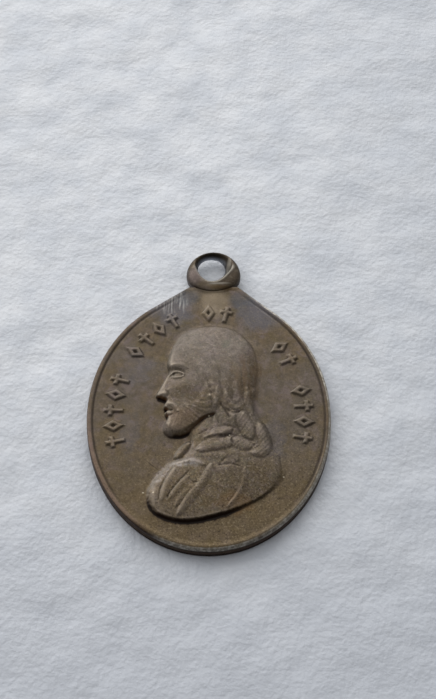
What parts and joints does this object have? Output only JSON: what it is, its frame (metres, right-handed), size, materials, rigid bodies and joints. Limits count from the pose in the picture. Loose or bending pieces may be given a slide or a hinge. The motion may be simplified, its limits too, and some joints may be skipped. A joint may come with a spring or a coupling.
{
  "type": "religious medal pendant",
  "caption": "Oval cast bronze devotional medal with a raised bust in profile, a rim, border ornaments and a drilled ball loop for hanging.",
  "frame": {"origin": "middle of the outline at the plane the medal lies on", "axes": "+Z out of the front face, +Y from the foot of the bust to the loop, +X to the viewer's right of the front face"},
  "size_m": [0.022, 0.032, 0.0022],
  "materials": {
    "bronze": "old brown patina, rubbed smooth and satin on the high places, dark dirt in the recesses"
  },
  "bodies": {
    "root": {"medal": "bronze"}
  },
  "joints": []
}
